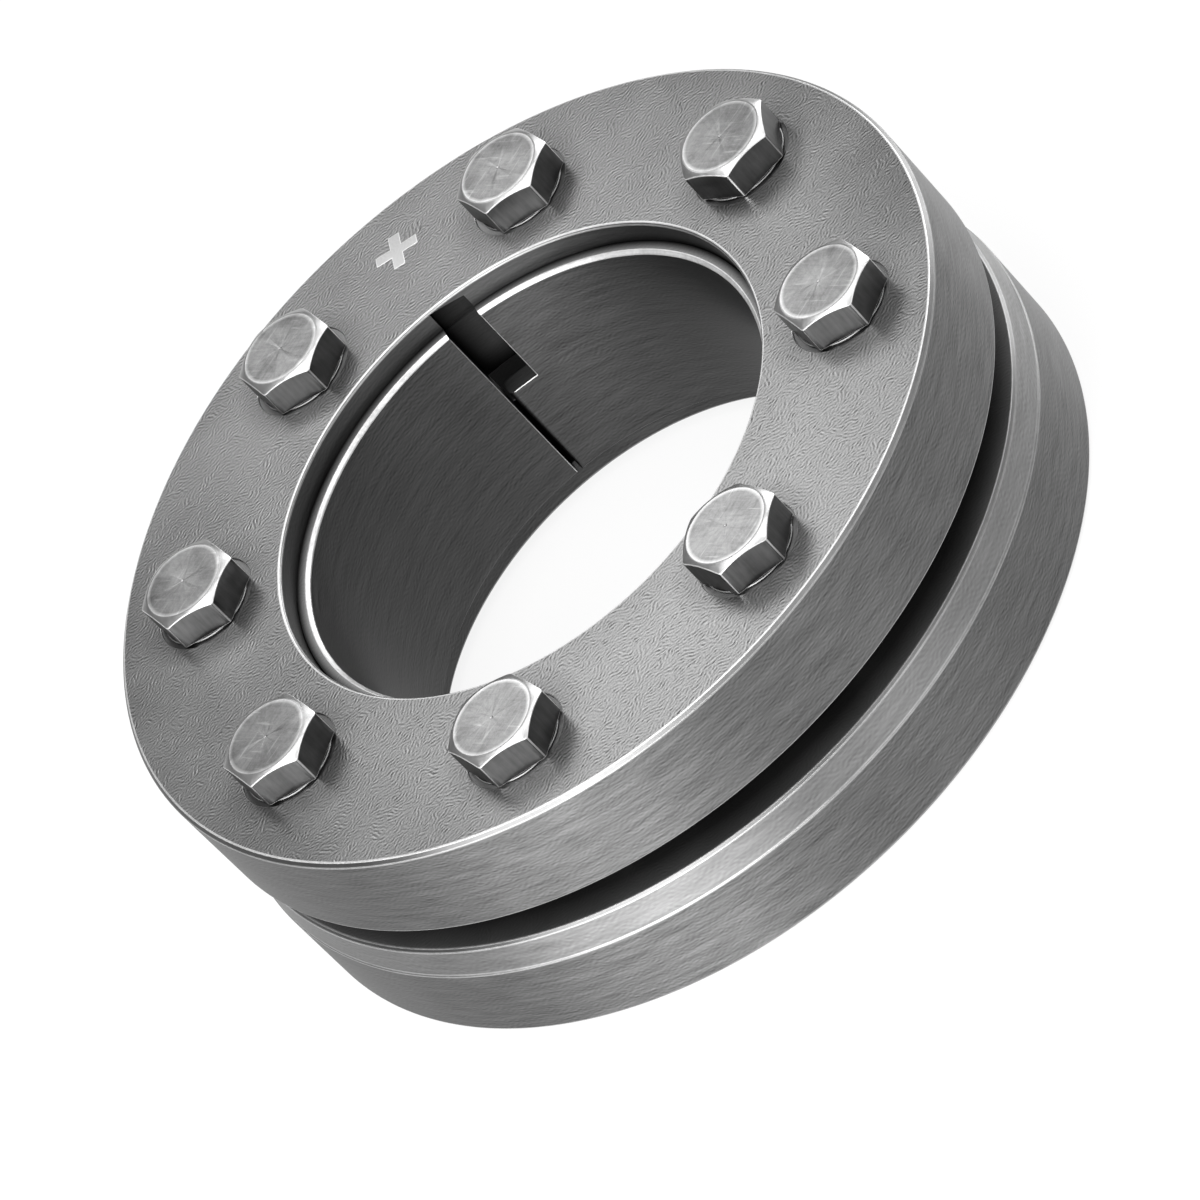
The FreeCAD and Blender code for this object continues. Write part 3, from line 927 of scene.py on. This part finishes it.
def floor():
    """Pale floor that the camera sees as white, with the object's shadow kept faint."""
    mesh = bpy.data.meshes.new("floor")
    corners = [(x * FLOOR_HALF, y * FLOOR_HALF, 0) for x, y in ((-1, -1), (1, -1), (1, 1), (-1, 1))]
    mesh.from_pydata(corners, [], [(0, 1, 2, 3)])
    made = linked("floor", mesh)
    paint = bpy.data.materials.new("floor_paint")
    paint.use_nodes = True
    tree = paint.node_tree
    tree.nodes.clear()
    path = tree.nodes.new("ShaderNodeLightPath")
    seen = maths(tree, "MAXIMUM", path.outputs["Is Camera Ray"],
                 maths(tree, "MAXIMUM", path.outputs["Is Glossy Ray"], path.outputs["Is Transmission Ray"]))
    share = maths(tree, "MULTIPLY", seen, FLOOR_WHITE_SHARE)
    matt = add(tree, "ShaderNodeBsdfDiffuse", Color=(FLOOR_GREY, FLOOR_GREY, FLOOR_GREY, 1))
    white = add(tree, "ShaderNodeEmission", Color=(1, 1, 1, 1), Strength=1.0)
    mix = add(tree, "ShaderNodeMixShader", i0=share, i1=matt.outputs[0], i2=white.outputs[0])
    out = tree.nodes.new("ShaderNodeOutputMaterial")
    tree.links.new(mix.outputs[0], out.inputs["Surface"])
    mesh.materials.append(paint)


def towards(azimuth, elevation):
    """Unit vector from the object towards a viewer or lamp; azimuth 0 lies at -Y."""
    return Vector((math.sin(azimuth) * math.cos(elevation), -math.cos(azimuth) * math.cos(elevation),
                   math.sin(elevation)))


def softbox(name, azimuth, elevation, distance, size, radiance, aim=LAMP_AIM):
    """Area lamp that shines at the object from a direction in degrees, as bright as its radiance."""
    lamp = bpy.data.lights.new(name, "AREA")
    lamp.shape = "RECTANGLE"
    lamp.size, lamp.size_y = size
    lamp.energy = radiance * math.pi * size[0] * size[1]
    made = linked(name, lamp)
    away = towards(math.radians(azimuth), math.radians(elevation))
    made.location = Vector(aim) + away * distance
    made.rotation_mode = "QUATERNION"
    made.rotation_quaternion = (-away).to_track_quat("-Z", "Y")


def world():
    """Even grey surroundings, lighter overhead."""
    made = bpy.data.worlds.new("studio")
    bpy.context.scene.world = made
    made.use_nodes = True
    tree = made.node_tree
    tree.nodes.clear()
    direction = tree.nodes.new("ShaderNodeTexCoord").outputs["Generated"]
    up = add(tree, "ShaderNodeSeparateXYZ", i0=direction).outputs[2]
    level = remap(tree, up, low=-0.1, high=0.9, new_low=0.45, new_high=0.8)
    colour = add(tree, "ShaderNodeCombineXYZ", i0=level, i1=level, i2=level).outputs[0]
    back = add(tree, "ShaderNodeBackground", Color=colour, Strength=SURROUNDINGS)
    out = tree.nodes.new("ShaderNodeOutputWorld")
    tree.links.new(back.outputs[0], out.inputs["Surface"])


def camera():
    """Camera at the photograph's viewing angle, rolled as the photograph is."""
    lens = bpy.data.cameras.new("camera")
    lens.sensor_width = CAMERA_SENSOR
    lens.lens = CAMERA_LENS
    lens.clip_start, lens.clip_end = 0.01, 20
    made = linked("camera", lens)
    away = towards(CAMERA_AZIMUTH, CAMERA_ELEVATION)
    level = (-away).to_track_quat("-Z", "Y").to_matrix()
    made.location = CAMERA_AIM + away * CAMERA_DISTANCE
    made.rotation_mode = "QUATERNION"
    made.rotation_quaternion = (level @ Matrix.Rotation(CAMERA_ROLL, 3, "Z")).to_quaternion()
    bpy.context.scene.camera = made


dress()
floor()
world()
camera()
softbox("overhead", azimuth=320, elevation=80, distance=0.6, size=(0.3, 0.3), radiance=6.0)
softbox("right", azimuth=98, elevation=60, distance=0.6, size=(0.3, 0.3), radiance=4.1)
softbox("face", azimuth=188, elevation=37, distance=0.2, size=(0.08, 0.08), radiance=2.1, aim=FACE_LAMP_AIM)
softbox("low_left", azimuth=318, elevation=22, distance=0.5, size=(0.4, 0.42), radiance=7.2)
softbox("low_front", azimuth=340, elevation=26, distance=0.5, size=(0.3, 0.4), radiance=3.4)
softbox("low_right", azimuth=30, elevation=24, distance=0.6, size=(0.3, 0.5), radiance=2.3)
softbox("low_behind", azimuth=132, elevation=20, distance=0.5, size=(0.3, 0.38), radiance=4.2)
bpy.context.scene.view_settings.view_transform = "Standard"
